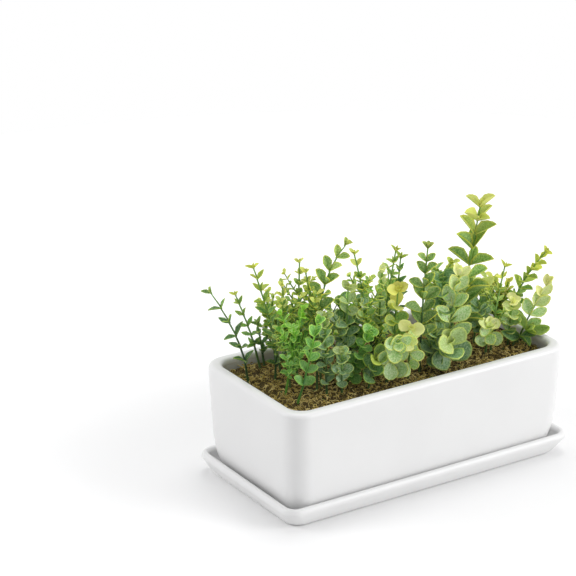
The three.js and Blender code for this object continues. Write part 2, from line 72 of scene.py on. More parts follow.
def cast_shell(half_x, half_y, corner, section):
    """A shell with round corners, drawn ring by ring through a section from its underside.

    Each row of the section is a height, an inset that keeps the corner's radius, and an offset
    that runs parallel to the outline. It gives the mesh, its first ring and its last one.
    """
    z, inset, offset = section[0]
    radius = corner - offset
    bm = bmesh.new()
    bmesh.ops.create_grid(bm, x_segments=1, y_segments=1, size=1)
    size = Matrix.Diagonal((half_x - inset - offset, half_y - inset - offset, 1, 1))
    bmesh.ops.transform(bm, verts=bm.verts, matrix=Matrix.Translation((0, 0, z)) @ size)
    bmesh.ops.bevel(bm, geom=list(bm.verts), offset=radius, segments=12, profile=0.5,
                    affect="VERTICES", material=-1)
    sides = [edge for edge in bm.edges if edge.calc_length() > 2 * radius]
    bmesh.ops.subdivide_edges(bm, edges=sides, cuts=6)
    first_ring = ring = bm.edges[:]
    for z, next_inset, offset in section[1:]:
        ring, verts = extrude_ring(bm, ring)
        core = (half_x - inset - corner, half_y - inset - corner)
        moved = (half_x - next_inset - corner, half_y - next_inset - corner)
        for vert in verts:
            centre = Vector((max(-core[0], min(core[0], vert.co.x)),
                             max(-core[1], min(core[1], vert.co.y))))
            outward = (vert.co.xy - centre).normalized() * (corner - offset)
            vert.co = (centre.x * moved[0] / core[0] + outward.x,
                       centre.y * moved[1] / core[1] + outward.y, z)
        inset = next_inset
    return bm, first_ring, ring


def keep_mesh(bm, name):
    """Stores a finished bmesh as a mesh."""
    mesh = bpy.data.meshes.new(name)
    bm.to_mesh(mesh)
    bm.free()
    return mesh


def finish_piece(bm, name, sharp_from=None):
    """Makes the finished object of a piece, smooth except at edges sharper than sharp_from."""
    for face in bm.faces:
        face.smooth = True
    mesh = keep_mesh(bm, name)
    if sharp_from:
        mesh.set_sharp_from_angle(angle=math.radians(sharp_from))
    piece = bpy.data.objects.new(name, mesh)
    bpy.context.scene.collection.objects.link(piece)
    return piece


saucer_section = [(z, saucer_flare, offset) for z, offset in saucer_foot_ring]
for share in (step / 8 for step in range(1, 8)):
    bulge = saucer_bulge * math.sin(math.pi * share)
    saucer_section.append((saucer_lip_z * share, saucer_flare * (1 - share) - bulge, 0))
saucer_section += [(saucer_lip_z + saucer_lip_rise * up, 0, saucer_wall / 2 * (1 - across))
                   for up, across in swing(16, quarters=2)]
saucer_section += [(saucer_lip_z - (saucer_lip_z - saucer_floor_z) * down,
                    saucer_sweep * (1 - across), saucer_wall) for down, across in swing(10)[1:]]
bm, _, saucer_floor_ring = cast_shell(saucer_half_x, saucer_half_y, saucer_corner, saucer_section)
bmesh.ops.contextual_create(bm, geom=saucer_floor_ring)
bmesh.ops.recalc_face_normals(bm, faces=bm.faces)
saucer = finish_piece(bm, "saucer_cast", sharp_from=50)


def add_node(tree, kind, inputs=None, **settings):
    """Adds a node to a tree. Each of its inputs takes a value, or the output that feeds it."""
    node = tree.nodes.new("ShaderNode" + kind)
    for setting, value in settings.items():
        setattr(node, setting, value)
    for socket, value in (inputs or {}).items():
        if isinstance(value, bpy.types.NodeSocket):
            tree.links.new(value, node.inputs[socket])
        else:
            node.inputs[socket].default_value = value
    return node


def add_texture(tree, kind, scale, **inputs):
    """Adds a texture in the piece's own coordinates, its scale in cells or waves per metre."""
    place = add_node(tree, "TexCoord")
    return add_node(tree, kind, {"Vector": place.outputs["Object"], "Scale": scale, **inputs})


def ramp_colours(tree, factor, *stops):
    """Turns a factor into a colour. Each stop is a position and a linear colour."""
    ramp = add_node(tree, "ValToRGB", {"Fac": factor})
    elements = ramp.color_ramp.elements
    elements[0].position, elements[1].position = stops[0][0], stops[-1][0]
    for position, _ in stops[1:-1]:
        elements.new(position)
    for element, (_, colour) in zip(elements, stops):
        element.color = (*colour, 1)
    return ramp.outputs["Color"]


def stretch(tree, value, low, high, from_low=0, from_high=1, curve="LINEAR"):
    """Stretches a value that runs from from_low to from_high, to run from low to high."""
    stretched = add_node(tree, "MapRange", {"Value": value, "From Min": from_low,
                                            "From Max": from_high, "To Min": low,
                                            "To Max": high}, interpolation_type=curve)
    return stretched.outputs["Result"]


def start_finish(name, even=None):
    """A new material and its tree. The even values are the same all over it."""
    material = bpy.data.materials.new(name)
    material.use_nodes = True
    shader = material.node_tree.nodes["Principled BSDF"]
    for socket, value in (even or {}).items():
        shader.inputs[socket].default_value = value
    return material, material.node_tree


def join_finish(tree, colour, roughness, height, strength, distance):
    """Joins a material's colour, roughness and relief to its shader."""
    relief = add_node(tree, "Bump", {"Height": height, "Strength": strength,
                                     "Distance": distance})
    shader = tree.nodes["Principled BSDF"]
    tree.links.new(colour, shader.inputs["Base Color"])
    tree.links.new(roughness, shader.inputs["Roughness"])
    tree.links.new(relief.outputs["Normal"], shader.inputs["Normal"])


glaze, tree = start_finish("satin_white_glaze", {"Coat Weight": 0.2, "Coat Roughness": 0.15})
drift = add_texture(tree, "TexNoise", 14, Detail=3).outputs["Fac"]
skin = add_texture(tree, "TexNoise", 260).outputs["Fac"]
join_finish(tree, ramp_colours(tree, drift, (0.35, (0.84, 0.84, 0.838)),
                               (0.65, (0.86, 0.86, 0.857))),
            stretch(tree, drift, 0.3, 0.42), skin, strength=0.05, distance=0.0004)
saucer.data.materials.append(glaze)
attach(saucer, "saucer")
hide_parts("saucer")

# Pot: one slip-cast shell in the same glaze. Its rim is fuller than its wall, which is straight
# for a band, tapers a little and bows in, faster and faster, to a foot ring. Two drain holes
# go through its floor.
pot_half_x, pot_half_y = 0.1525, 0.0775
pot_corner = 0.02
pot_wall, pot_taper = 0.0085, 0.042
rim_outer_round, rim_inner_round = 0.0045, 0.0035
rim_wall, rim_offset, rim_under_z = 0.0108, 0.006, 0.1045
pot_foot_z, pot_floor_z, pot_top_z = 0.006, 0.014, 0.11
band_z, turn_z, turn_height, turn_depth = 0.1, 0.06, 0.054, 0.0155
floor_fillet = 0.008
drain_radius, drain_x = 0.006, 0.07
# heights over the foot and offsets round the foot ring, from its recess outwards
pot_foot_ring = [(0.002, 0.007), (0.0006, 0.0058), (0, 0.005), (0, 0.0006)]


def wall_inset(z):
    """How far the pot's wall stands in from its rim at a height."""
    turned = max(0, min(1, (turn_z - z) / turn_height))
    return pot_taper * max(0, band_z - z) + turn_depth * (1 - (1 - turned ** 3) ** (1 / 3))


pot_section = [(pot_foot_z + z, wall_inset(pot_foot_z), offset) for z, offset in pot_foot_ring]
# up the bow and the taper to the rim, round the rim, and down the inside
outside_heights = [turn_z - turn_height * down for down, _ in reversed(swing(18)[:-1])]
outside_heights += [0.07, 0.08, 0.09, band_z, 0.1035]
pot_section += [(z, wall_inset(z), 0) for z in outside_heights]
pot_section += [(pot_top_z - rim_outer_round * (1 - up), 0, rim_outer_round * (1 - out))
                for up, out in swing(8)]
pot_section += [(pot_top_z - rim_inner_round * (1 - up), rim_wall - rim_offset,
                 rim_offset - rim_inner_round * (1 - across)) for across, up in swing(5)]
pot_section.append((rim_under_z, rim_wall - rim_offset, rim_offset))
inside_heights = [0.103, band_z, 0.08, turn_z, 0.05, 0.041, 0.032]
pot_section += [(z, wall_inset(z), pot_wall) for z in inside_heights]
for down, across in swing(8):
    z = pot_floor_z + floor_fillet * (1 - down)
    pot_section.append((z, wall_inset(z) + floor_fillet * (1 - across), pot_wall))
bm, under_ring, floor_ring = cast_shell(pot_half_x, pot_half_y, pot_corner, pot_section)

# the drain holes, each a tube from the underside to the floor
under_z = pot_section[0][0]
underside = max(bm.faces, key=lambda face: len(face.verts))
bmesh.ops.delete(bm, geom=[underside], context="FACES_ONLY")
for side in (-1, 1):
    hole = bmesh.ops.create_circle(bm, segments=28, radius=drain_radius,
                                   matrix=Matrix.Translation((side * drain_x, 0, under_z)))
    low_ring = ring_edges(hole["verts"])
    high_ring, raised = extrude_ring(bm, low_ring)
    bmesh.ops.translate(bm, vec=(0, 0, pot_floor_z - under_z), verts=raised)
    under_ring += low_ring
    floor_ring += high_ring
for ring in (under_ring, floor_ring):
    bmesh.ops.triangle_fill(bm, edges=ring, use_beauty=True)
bmesh.ops.recalc_face_normals(bm, faces=bm.faces)
pot = finish_piece(bm, "pot_cast", sharp_from=50)
pot.data.materials.append(glaze)
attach(pot, "pot")
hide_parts("pot")

# Foam block: dry green florist's foam, wedged in the pot. It is cut to the cavity and holds
# the stems, which are pushed into it.
dry_foam, tree = start_finish("dry_foam")
cells = add_texture(tree, "TexVoronoi", 900).outputs["Distance"]
join_finish(tree, ramp_colours(tree, cells, (0, (0.035, 0.07, 0.03)), (0.5, (0.11, 0.19, 0.08))),
            stretch(tree, cells, 0.98, 0.88), cells, strength=0.6, distance=0.0005)
foam_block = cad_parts["foam_block"]
foam_block.data.materials.clear()
foam_block.data.materials.append(dry_foam)

# Coir top: a loose mat of curly coconut fibre over the foam, pressed down by hand round the
# stems. A felted layer lies under the open curls, brown with near-black patches of painted shade.
coir_low_z, coir_top_z = 0.092, 0.099
# how far the mat stops short of the pot's wall, and the curls short of the mat's edge
coir_gap, curl_gap = 0.0008, 0.003
coir_crown, crown_reach, coir_lump, coir_settle = 0.0016, 0.03, 0.0014, 0.0012
felt_nap, felt_drop = 0.0007, 0.0008
fibre_radius = 0.00036
fibre_count = 4900
coir_half_x = pot_half_x - wall_inset(coir_top_z) - pot_wall - coir_gap
coir_half_y = pot_half_y - wall_inset(coir_top_z) - pot_wall - coir_gap
coir_corner = pot_corner - pot_wall


def coir_height(x, y):
    """The lie of the mat: low at the pot's wall, a little crowned, and lumpy by hand."""
    inward = min(coir_half_x - abs(x), coir_half_y - abs(y))
    crown = coir_crown * math.sin(math.pi / 2 * max(0, min(1, inward / crown_reach)))
    lumps = noise.noise((x * 55, y * 55, 0)) + 0.5 * noise.noise((x * 150, y * 150, 4))
    return coir_top_z + crown + coir_lump * lumps - coir_settle


def past_corner(x, y):
    """How far a point lies past the centre of the mat's round corner, along and across."""
    return Vector((max(0, abs(x) - (coir_half_x - coir_corner)),
                   max(0, abs(y) - (coir_half_y - coir_corner))))


bm = bmesh.new()
bmesh.ops.create_grid(bm, x_segments=144, y_segments=70, size=1)
for vert in bm.verts:
    x, y = vert.co.x * coir_half_x, vert.co.y * coir_half_y
    past = past_corner(x, y)
    if past.length > coir_corner:
        past *= coir_corner / past.length
        x = math.copysign(coir_half_x - coir_corner + past.x, x)
        y = math.copysign(coir_half_y - coir_corner + past.y, y)
    nap = felt_nap * noise.noise((x * 420, y * 420, 9))
    vert.co = (x, y, coir_height(x, y) + nap - felt_drop)
low_ring, low_verts = extrude_ring(bm, [edge for edge in bm.edges if len(edge.link_faces) == 1])
for vert in low_verts:
    vert.co.z = coir_low_z
bmesh.ops.contextual_create(bm, geom=low_ring)
bmesh.ops.recalc_face_normals(bm, faces=bm.faces)
coir_felt = finish_piece(bm, "coir_felt", sharp_from=70)


def make_fibre(name, turns, spread, rise, steps):
    """One curl of fibre about its own middle, a three-sided thread."""
    bm = bmesh.new()
    bmesh.ops.create_circle(bm, segments=3, radius=fibre_radius, cap_ends=False,
                            matrix=Matrix.Translation((spread, 0, 0))
                            @ Matrix.Rotation(math.pi / 2, 4, "X"))
    bmesh.ops.spin(bm, geom=bm.verts[:] + bm.edges[:], cent=(0, 0, 0), axis=(0, 0, 1),
                   dvec=(spread * 0.5 / steps, 0, rise / steps), angle=turns * 2 * math.pi,
                   steps=steps, use_merge=False)
    bmesh.ops.holes_fill(bm, edges=bm.edges[:], sides=3)
    bmesh.ops.recalc_face_normals(bm, faces=bm.faces)
    return keep_mesh(bm, name)


def add_copy(bm, mesh, place):
    """Adds a copy of a mesh to bm at a place, and gives its vertices."""
    copy = mesh.copy()
    copy.transform(place)
    count = len(bm.verts)
    bm.from_mesh(copy)
    bpy.data.meshes.remove(copy)
    bm.verts.ensure_lookup_table()
    return [bm.verts[index] for index in range(count, len(bm.verts))]


fibre_kinds = [make_fibre("open_curl", 0.8, 0.0013, 0.0011, 7),
               make_fibre("tight_curl", 1.1, 0.0008, 0.0014, 8),
               make_fibre("loose_strand", 0.3, 0.0030, 0.0013, 5),
               make_fibre("bent_strand", 0.5, 0.0018, -0.0011, 5)]
chance = random.Random(41)
bm = bmesh.new()
tone_layer = bm.verts.layers.float.new("tone")
for _ in range(fibre_count):
    x = chance.uniform(-1, 1) * (coir_half_x - curl_gap)
    y = chance.uniform(-1, 1) * (coir_half_y - curl_gap)
    if past_corner(x, y).length > coir_corner - curl_gap:
        continue
    kind = chance.choice(fibre_kinds)
    turned = Matrix.Rotation(chance.uniform(0, 2 * math.pi), 4, "Z") \
        @ Matrix.Rotation(chance.gauss(0, 0.5), 4, "X") \
        @ Matrix.Rotation(chance.gauss(0, 0.4), 4, "Y") \
        @ Matrix.Scale(chance.uniform(0.6, 1.15), 4)
    lift = coir_height(x, y) + chance.uniform(-0.0011, 0.0008)
    thread = add_copy(bm, kind, Matrix.Translation((x, y, lift)) @ turned)
    tone = 0.7 * chance.random() + 0.3 * (0.5 + 1.2 * noise.noise((x * 110, y * 110, 2)))
    for vert in thread:
        vert[tone_layer] = tone
        vert.co.x = max(-coir_half_x, min(coir_half_x, vert.co.x))
        vert.co.y = max(-coir_half_y, min(coir_half_y, vert.co.y))
coir_curls = finish_piece(bm, "coir_curls")

coconut_fibre, tree = start_finish("coconut_fibre", {"Specular IOR Level": 0.25})
strand_tone = add_node(tree, "Attribute", attribute_name="tone").outputs["Fac"]
barbs = add_texture(tree, "TexNoise", 900).outputs["Fac"]
join_finish(tree, ramp_colours(tree, strand_tone, (0, (0.035, 0.023, 0.006)),
                               (0.4, (0.56, 0.42, 0.11)), (0.88, (0.92, 0.76, 0.32)),
                               (0.9, (0.14, 0.3, 0.08))),
            stretch(tree, barbs, 0.75, 0.95), barbs, strength=0.5, distance=0.0003)
coir_curls.data.materials.append(coconut_fibre)

# the felt: the coir's own brown, and near-black patches of painted shade between the curls
felt_with_painted_shade, tree = start_finish("coir_felt", {"Specular IOR Level": 0.15})
strands = add_texture(tree, "TexNoise", 500, Detail=6, Distortion=3).outputs["Fac"]
join_finish(tree, ramp_colours(tree, strands, (0.45, (0.012, 0.008, 0.003)),
                               (0.72, (0.42, 0.31, 0.11))),
            stretch(tree, strands, 1.0, 0.85), strands, strength=0.8, distance=0.001)
coir_felt.data.materials.append(felt_with_painted_shade)
for piece in (coir_felt, coir_curls):
    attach(piece, "planting")
    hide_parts("coir_top")

# Fine sprigs: slim stems with crossed pairs of narrow leaves, most of them at the ends of the
# bed. Each is one shot of soft plastic, pushed 30 mm into the foam, and its leaves are dusted
# with a pale bloom and tipped with yellow by spray.
bed_margin = 0.0072
bed_half_x, bed_half_y = coir_half_x - bed_margin, coir_half_y - bed_margin
foam_top_z, stem_depth = 0.0917, 0.03
stem_end_radius, stem_radius, stem_taper = 0.0009, 0.0011, 0.0004
knot_swell, knot_rise = 1.35, 0.0008
# the share of its reach that a twig leans out and rises, and the room it keeps from the wall
twig_lean, twig_rise, twig_room = 0.6, 0.9, 0.012
# the share of the stem's length below the twigs, and the share that bears them
twig_start, twig_span = 0.15, 0.58
twig_radii = [0.0007, 0.00065, 0.0006, 0.00055, 0.0005]
# the room that a leaf's tip keeps from the pot's wall and the saucer's edge, and over the rim
side_room, rim_room = 0.003, 0.006
# the share of the stem's length where the last pair of leaves sits, and how far from the
# tip the leaves are smaller
tip_share, tip_reach = 0.985, 0.04
# the bud, which is the last pair and half closed: its rise, size and youth
bud_rise, bud_size, bud_youth = 68, 0.42, 1.15
# the extra leaves, square to a pair: how much more they rise, and their size
extra_rise, extra_size = 12, 0.75
# youth makes a leaf yellower, and a low youth darkens it, which is painted shade low in the mass
# a leaf's youth at the foot of its stem, what it gains up to the tip, and how far it strays
foot_youth_and_shade, youth_and_shade_gain, youth_stray = -0.35, 1.5, 0.15
# the way to the front of the planting, and its turn
front, front_turn = Vector((-0.5, -0.85, 0)), math.radians(33)


def mould_leaf(name, width, widest, point, cup, fold, curl, thick):
    """A leaf a unit long along +X, its root at the origin, and its own map as an attribute.

    The map runs from -1 to 1 along the leaf and across it.
    """
    bm = bmesh.new()
    bmesh.ops.create_circle(bm, segments=12, radius=1, cap_ends=True)
    bmesh.ops.inset_region(bm, faces=bm.faces[:], thickness=0.3)
    middle = max(bm.faces, key=lambda face: len(face.verts))
    bmesh.ops.poke(bm, faces=[middle])
    leaf_map = bm.verts.layers.float_vector.new("leaf")
    for vert in bm.verts:
        along, across = vert.co.x, vert.co.y
        vert[leaf_map] = (along, across, 0)
        x = ((along + 1) / 2) ** (math.log(widest) / math.log(0.5))
        narrow = 1 - point * max(0, along) - 0.35 * max(0, -along)
        lift = cup * (across * across + 0.35 * along * along) + fold * abs(across) * narrow
        vert.co = (x, across * width / 2 * narrow, lift - curl * x * x)
    bmesh.ops.solidify(bm, geom=bm.faces[:], thickness=thick)
    bmesh.ops.recalc_face_normals(bm, faces=bm.faces)
    for face in bm.faces:
        face.material_index = 1
    return keep_mesh(bm, name)


def lean_to(way):
    """The least turn that points the upright along way."""
    return Vector((0, 0, 1)).rotation_difference(way).to_matrix().to_4x4()


def near_wall(point, room):
    """Whether a point lies within room of the coir's edge, or past it."""
    return abs(point.x) > coir_half_x - room or abs(point.y) > coir_half_y - room


def draw_stem(bm, points, radii, youths_and_shades):
    """A six-sided tube through points, closed at both ends, with its youth and painted shade in
    the leaf map.
    """
    leaf_map = bm.verts.layers.float_vector["leaf"]
    ahead = [after - before for before, after in zip(points, points[1:])]
    ahead.append(ahead[-1])
    places = [Matrix.Translation(point) @ lean_to(way) @ Matrix.Scale(radius, 4)
              for point, way, radius in zip(points, ahead, radii)]
    ring = bmesh.ops.create_circle(bm, segments=6, radius=1, cap_ends=True,
                                   matrix=places[0])["verts"]
    edges = ring_edges(ring)
    for vert in ring:
        vert[leaf_map] = (0, 0, youths_and_shades[0])
    for before, after, youth_and_shade in zip(places, places[1:], youths_and_shades[1:]):
        edges, ring = extrude_ring(bm, edges)
        bmesh.ops.transform(bm, matrix=after @ before.inverted(), verts=ring)
        for vert in ring:
            vert[leaf_map] = (0, 0, youth_and_shade)
    bmesh.ops.contextual_create(bm, geom=edges)


def set_leaf(bm, leaf, root, way, angle, rise, roll, length, youth_and_shade):
    """Adds one leaf at root, at an angle round the stem's way and a rise off square to it.

    A leaf that would rest on the pot's rim, lie in its wall or reach past the saucer is folded
    up, clear of it.
    """
    for lifted in (rise, rise + 0.5, rise + 0.9):
        turned = lean_to(way) @ Matrix.Rotation(angle, 4, "Z") \
            @ Matrix.Rotation(-lifted, 4, "Y") @ Matrix.Rotation(roll, 4, "X")
        tip = root + turned @ Vector((length, 0, 0))
        outside = (abs(tip.x) > saucer_half_x - side_room
                   or abs(tip.y) > saucer_half_y - side_room)
        if not outside and not (near_wall(tip, side_room) and tip.z < pot_top_z + rim_room):
            break
    leaf_map = bm.verts.layers.float_vector["leaf"]
    place = Matrix.Translation(root) @ turned @ Matrix.Scale(length, 4)
    for vert in add_copy(bm, leaf, place):
        vert[leaf_map] = (vert[leaf_map].x, vert[leaf_map].y, youth_and_shade)


def grow_twig(bm, leaf, start, rise, length, youth_and_shade, luck):
    """A side twig that curves out and up from the stem, with small pairs of leaves along it."""
    angle = luck.uniform(0, 2 * math.pi)
    reach = luck.uniform(0.014, 0.026)
    way = Vector((math.cos(angle), math.sin(angle), 0))
    if near_wall(start + way * (reach * twig_lean), twig_room):
        way = -way
        angle += math.pi
    bends = [start + way * reach * twig_lean * share ** 0.8
             + Vector((0, 0, reach * twig_rise * share)) for share in (0, 0.25, 0.5, 0.75, 1)]
    draw_stem(bm, bends, twig_radii, [youth_and_shade] * len(bends))
    for step, (before, point) in enumerate(zip(bends, bends[1:])):
        for side in (0, 1):
            facing = angle + math.pi / 2 * (step % 2) + math.pi * side + luck.gauss(0, 0.2)
            set_leaf(bm, leaf, point, point - before, facing,
                     math.radians(rise + luck.gauss(0, 12)), luck.gauss(0, 0.3),
                     length * luck.uniform(0.55, 0.85),
                     youth_and_shade + 0.1 * step + luck.uniform(-youth_stray, youth_stray))


def grow_sprig(name, row, leaf, rise, tip_size, crossing=60, more_leaves=0.3, twigs=0, twist=20):
    """Plants one sprig: its stem, its leaves from the tip down, its bud and its side twigs.

    The row is the planting plan's: number; along and across the bed in hundredths; the tip's
    shift in x and y and the height, in millimetres; how late the stem bends, as a power; bare
    stem, leaf length and pair spacing in millimetres; turn in degrees; youth, which makes all
    its leaves yellower or, below zero, darker with painted shade; nod, which turns them out to
    the front; finish.
    Twist is how far the leaves at the stem's sides turn their faces to the front, in degrees.
    """
    (number, along, across, shift_x, shift_y, height, bend, bare, length, spacing, turn, youth_and_shade,
     nod, finish) = row
    foot = Vector((along / 100 * bed_half_x, across / 100 * bed_half_y, coir_top_z))
    shift = Vector((shift_x, shift_y)) / 1000
    height, length = height / 1000, length / 1000
    reach = math.hypot(height, shift.length)
    luck = random.Random(number)

    def stem_point(share):
        lean = share ** bend
        return foot + Vector((shift.x * lean, shift.y * lean, height * share))

    def youth_and_shade_at(share):
        return youth_and_shade_gain * share + foot_youth_and_shade + youth_and_shade

    def stem_way(share):
        lean = bend * share ** (bend - 1)
        way = Vector((shift.x * lean, shift.y * lean, height)).normalized()
        return way + front * nod

    shares = [tip_share]
    while shares[-1] - spacing / 1000 / reach > bare / 1000 / reach:
        shares.append(shares[-1] - spacing / 1000 / reach * luck.uniform(0.86, 1.12))
    bm = bmesh.new()
    bm.verts.layers.float_vector.new("leaf")
    low = Vector((foot.x, foot.y, foam_top_z - stem_depth))
    points, radii = [low, foot + Vector((0, 0, 0.001))], [stem_end_radius, stem_radius]
    youths_and_shades = [0, 0]
    for share in reversed(shares):
        radius = stem_radius - stem_taper * share
        for step, swell in ((-1, 1.0), (0, knot_swell), (1, 0.95)):
            points.append(stem_point(share) + Vector((0, 0, step * knot_rise)))
            radii.append(radius * swell)
            youths_and_shades.append(youth_and_shade_at(share))
    draw_stem(bm, points, radii, youths_and_shades)

    for pair, share in enumerate(shares):
        grown = min(1, (1 - share) * reach / tip_reach) ** 0.8
        size = length * (tip_size + (1 - tip_size) * grown)
        for side in range(4):
            extra = side > 1
            if extra and luck.random() > more_leaves:
                continue
            angle = math.radians(turn + (pair % 2) * crossing + side * 180 + luck.gauss(0, 9))
            if extra:
                angle += math.pi / 2
            more = luck.gauss(extra_rise if extra else 0, 8)
            lift = math.radians(rise + 22 * (share - 0.5) + more)
            roll = math.radians(twist) * math.cos(angle + front_turn)
            set_leaf(bm, leaf, stem_point(share), stem_way(share), angle, lift,
                     roll + luck.gauss(0, 0.22),
                     size * luck.uniform(0.86, 1.1) * (extra_size if extra else 1),
                     youth_and_shade_at(share) + luck.uniform(-youth_stray, youth_stray))
    for side in (0, 1):
        set_leaf(bm, leaf, stem_point(tip_share), stem_way(tip_share),
                 math.radians(turn + 90 + 180 * side), math.radians(bud_rise + 8 * side), 0,
                 bud_size * length, bud_youth + youth_and_shade)
    for twig in range(twigs):
        share = twig_start + twig_span * (twig + luck.random()) / twigs
        grow_twig(bm, leaf, stem_point(share), rise, length, youth_and_shade_at(share), luck)
    sprig = finish_piece(bm, name + "_moulded", sharp_from=60)
    for plastic in sprig_plastics[finish]:
        sprig.data.materials.append(plastic)
    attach(sprig, "planting")
    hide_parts(name)


def reckon(tree, operation, *values):
    """One step of arithmetic on numbers and outputs."""
    return add_node(tree, "Math", dict(enumerate(values)), operation=operation).outputs["Value"]


def blend_colours(tree, mask, first, second):
    """The first colour, and the second where the mask is 1."""
    blend = add_node(tree, "Mix", {"Factor": mask, "A": first, "B": second}, data_type="RGBA")
    return blend.outputs["Result"]


def read_leaf_map(tree):
    """The place along and across a leaf, and its youth, 0 for old and 1 for new, also its painted
    shade.
    """
    leaf_map = add_node(tree, "Attribute", attribute_name="leaf")
    parts = add_node(tree, "SeparateXYZ", {"Vector": leaf_map.outputs["Vector"]})
    return [parts.outputs[axis] for axis in "XYZ"]


# the leaf's colour: its own bloom, rim and yellowing, and painted shade on leaves low on the stem
leaf_dust_and_shade = bpy.data.node_groups.new("leaf_dust_and_shade", "ShaderNodeTree")
for label in ("Blade", "Bloom", "Rim", "Young"):
    leaf_dust_and_shade.interface.new_socket(label, in_out="INPUT", socket_type="NodeSocketColor")
for label, socket_type in (("Colour", "NodeSocketColor"), ("Roughness", "NodeSocketFloat"),
                           ("Relief", "NodeSocketFloat")):
    leaf_dust_and_shade.interface.new_socket(label, in_out="OUTPUT", socket_type=socket_type)
given = leaf_dust_and_shade.nodes.new("NodeGroupInput")
along, across, youth_and_shade = read_leaf_map(leaf_dust_and_shade)
mottle = add_texture(leaf_dust_and_shade, "TexNoise", 700, Detail=3, Roughness=0.7).outputs["Fac"]
dusting = stretch(leaf_dust_and_shade, mottle, 0, 1, from_low=0.36, from_high=0.68)
colour = blend_colours(leaf_dust_and_shade, dusting, given.outputs["Blade"], given.outputs["Bloom"])
# the sprayed rim, wider and yellower on young leaves
flat = add_node(leaf_dust_and_shade, "CombineXYZ", {"X": along, "Y": across})
outward = add_node(leaf_dust_and_shade, "VectorMath", {0: flat.outputs["Vector"]}, operation="LENGTH")
wander = reckon(leaf_dust_and_shade, "MULTIPLY_ADD", mottle, 0.35, outward.outputs["Value"])
rim_mask = stretch(leaf_dust_and_shade, wander, 0, 1, from_low=stretch(leaf_dust_and_shade, youth_and_shade, 0.95, 0.82),
                   from_high=1.25, curve="SMOOTHSTEP")
colour = blend_colours(leaf_dust_and_shade, rim_mask, colour, given.outputs["Rim"])
young_mask = stretch(leaf_dust_and_shade, youth_and_shade, 0, 0.85, from_low=0.75, from_high=1.25)
colour = blend_colours(leaf_dust_and_shade, young_mask, colour, given.outputs["Young"])
# each leaf has a random tone of its own, and those low on the stem are darker: painted shade in
# the mass
shot = reckon(leaf_dust_and_shade, "PINGPONG", reckon(leaf_dust_and_shade, "MULTIPLY", youth_and_shade, 17.3), 1)
tone_and_painted_shade = reckon(leaf_dust_and_shade, "MULTIPLY", stretch(leaf_dust_and_shade, shot, 0.94, 1.28),
               stretch(leaf_dust_and_shade, youth_and_shade, 0.72, 1, from_low=-0.2, from_high=0.5))
shade = add_node(leaf_dust_and_shade, "VectorMath", {"Vector": colour, "Scale": tone_and_painted_shade},
                 operation="SCALE")
# a raised midrib and the grain of the bloom
midrib = stretch(leaf_dust_and_shade, reckon(leaf_dust_and_shade, "ABSOLUTE", across), 1, 0, from_low=0.02,
                 from_high=0.14)
relief = reckon(leaf_dust_and_shade, "MULTIPLY_ADD", mottle, 0.5, midrib)
made = leaf_dust_and_shade.nodes.new("NodeGroupOutput")
for label, output in (("Colour", shade.outputs["Vector"]), ("Relief", relief),
                      ("Roughness", stretch(leaf_dust_and_shade, dusting, 0.36, 0.56))):
    leaf_dust_and_shade.links.new(output, made.inputs[label])


def card_colour(red, green, blue):
    """A colour as it is read off a colour card, 0 to 255, made linear."""
    values = [level / 255 for level in (red, green, blue)]
    return [v / 12.92 if v <= 0.04045 else ((v + 0.055) / 1.055) ** 2.4 for v in values]


def leaf_plastic(name, blade, bloom, rim, young):
    """A soft plastic leaf finish: blade colour, pale bloom, sprayed rim, young leaves and painted
    shade.
    """
    material, tree = start_finish(name, {"Specular IOR Level": 0.4, "Subsurface Weight": 0.35,
                                         "Subsurface Radius": (0.7, 1.0, 0.5),
                                         "Subsurface Scale": 0.003})
    colours = {"Blade": blade, "Bloom": bloom, "Rim": rim, "Young": young}
    dust_and_shade = add_node(tree, "Group", node_tree=leaf_dust_and_shade)
    for label, colour in colours.items():
        dust_and_shade.inputs[label].default_value = (*card_colour(*colour), 1)
    join_finish(tree, *(dust_and_shade.outputs[label] for label in ("Colour", "Roughness", "Relief")),
                strength=0.35, distance=0.0004)
    return material


def stem_plastic(name, low, high):
    """The stem's plastic, with painted shade that darkens it from the tip down to the bed."""
    material, tree = start_finish(name)
    _, _, youth_and_shade = read_leaf_map(tree)
    grain = add_texture(tree, "TexNoise", 420, Detail=3).outputs["Fac"]
    # the grain, and painted shade that darkens the stem with its youth towards the bed
    grain_and_painted_shade = reckon(tree, "MULTIPLY_ADD", grain, 0.4, youth_and_shade)
    join_finish(tree, ramp_colours(tree, grain_and_painted_shade, (0, card_colour(*low)),
                                   (1, card_colour(*high))),
                stretch(tree, grain, 0.36, 0.56), grain, strength=0.3, distance=0.0003)
    return material


